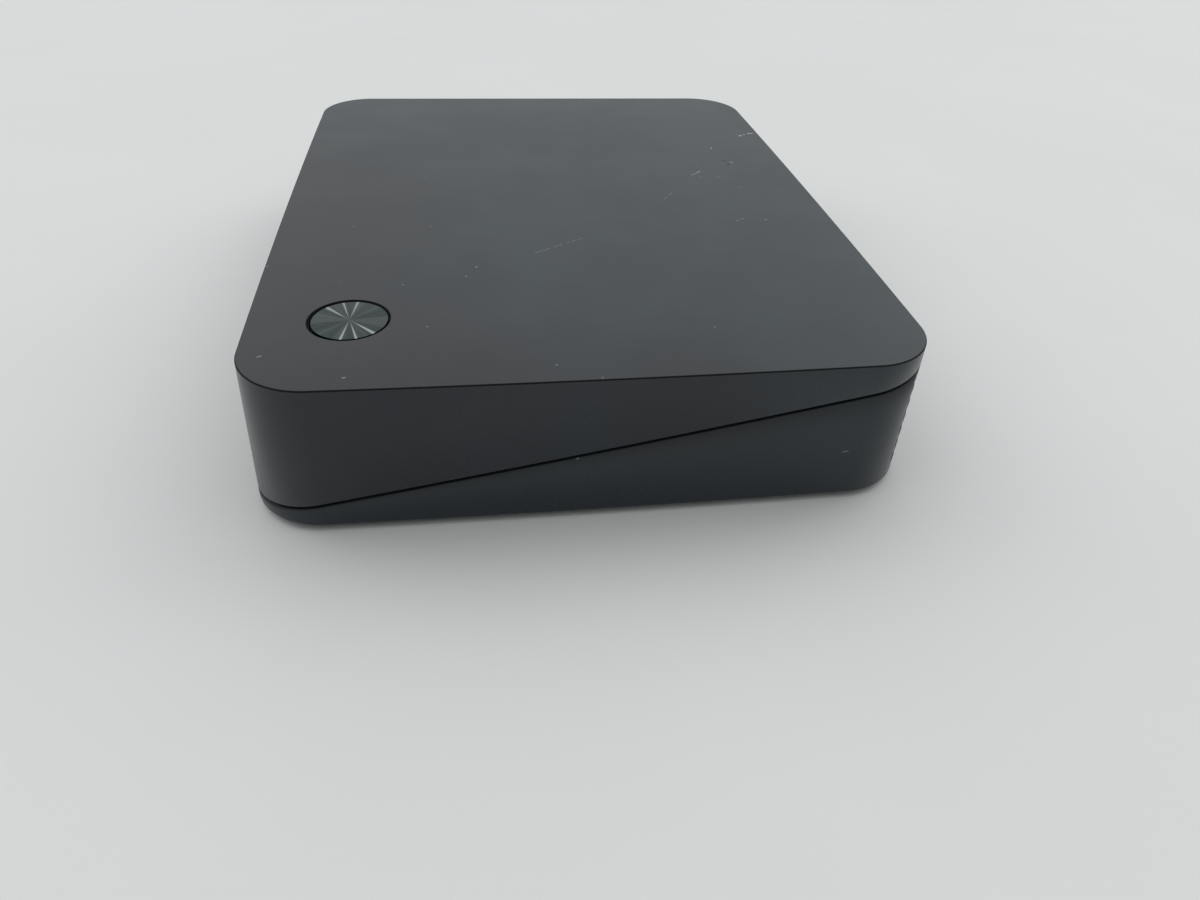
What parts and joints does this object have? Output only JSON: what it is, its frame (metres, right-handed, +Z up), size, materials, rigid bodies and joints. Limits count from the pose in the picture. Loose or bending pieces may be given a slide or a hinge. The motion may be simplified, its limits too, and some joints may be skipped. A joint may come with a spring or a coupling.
{
  "type": "television recorder set-top box",
  "caption": "Low black recorder box of two moulded shells parted by a slanting seam, with a round spun-metal power button, a connector bay at the back and a hard disk inside.",
  "frame": {"origin": "middle of the box's outline at the underside of the feet", "axes": "+X to the right seen from the front, +Y from the front to the connector side, +Z up"},
  "size_m": [0.1999, 0.25, 0.0482],
  "materials": {
    "case_plastic": "fine grained black",
    "button_metal": "spun, dark",
    "inner_plastic": "plain black",
    "smoked_plastic": "polished, almost black",
    "board_laminate": "green lacquer",
    "bright_steel": "zinc plated",
    "die_cast": "cast, satin",
    "heatsink_aluminium": "extruded",
    "nickel": "nickel plated",
    "chip_plastic": "moulded",
    "white_plastic": "natural nylon",
    "lamp_plastic": "clear resin",
    "soft_rubber": "matte",
    "thermal_silicone": "soft",
    "ribbon_plastic": "flat cable",
    "copper_coil": "ferrite"
  },
  "bodies": {
    "case": {"top_cover": "case_plastic", "bottom_tray": "case_plastic", "rear_panel": "inner_plastic", "rubber_feet": "soft_rubber", "case_screws": "bright_steel", "light_guide_ring": "smoked_plastic", "button_board": "board_laminate", "button_board_screws": "bright_steel", "button_board_header": "white_plastic", "tact_switch": "inner_plastic", "status_leds": "lamp_plastic", "infrared_receiver": "smoked_plastic", "button_cable": "ribbon_plastic", "main_board": "board_laminate", "board_screws": "bright_steel", "processor": "chip_plastic", "thermal_pad": "thermal_silicone", "heatsink": "heatsink_aluminium", "memory_chips": "chip_plastic", "tuner_frame": "bright_steel", "tuner_lid": "bright_steel", "capacitors": "inner_plastic", "power_coils": "copper_coil", "board_headers": "white_plastic", "drive_cable": "ribbon_plastic", "fan_cable": "ribbon_plastic", "hard_drive_case": "die_cast", "hard_drive_board": "board_laminate", "hard_drive_lid": "bright_steel", "drive_bracket": "bright_steel", "bracket_screws": "bright_steel", "drive_grommets": "soft_rubber", "drive_screws": "bright_steel", "drive_plug": "inner_plastic", "fan_frame": "inner_plastic", "fan_screws": "bright_steel", "coax_connectors": "nickel", "coax_insulators": "white_plastic", "coax_nuts": "nickel", "ethernet_jack": "inner_plastic", "usb_jack": "bright_steel", "hdmi_jack": "bright_steel", "optical_jack": "inner_plastic", "power_jack": "inner_plastic"},
    "button": {"power_button_cap": "button_metal", "button_carrier": "inner_plastic"},
    "plunger": {"tact_switch_plunger": "inner_plastic"},
    "rotor": {"fan_rotor": "inner_plastic"},
    "shutter": {"optical_shutter": "inner_plastic"}
  },
  "joints": [
    {"name": "power_button_press", "type": "slide", "parent": "case", "child": "button", "axis": [0, 0, -1], "range_m": [0, 0.0005], "stiffness_N_per_m": 4000},
    {"name": "switch_plunger_press", "type": "slide", "parent": "case", "child": "plunger", "axis": [0, 0, -1], "range_m": [0, 0.0005]},
    {"name": "fan_spin", "type": "hinge", "parent": "case", "child": "rotor", "pos_m": [-0.058, -0.068, 0.015], "axis": [0, 0, 1], "continuous": true},
    {"name": "optical_flap_swing", "type": "hinge", "parent": "case", "child": "shutter", "pos_m": [0.0451, 0.114, 0.02085], "axis": [-1, 0, 0], "range_deg": [0, 88], "stiffness_Nm_per_rad": 0.0002}
  ],
  "couplings": [
    {"joint": "switch_plunger_press", "follows": "power_button_press", "ratio": 1}
  ]
}
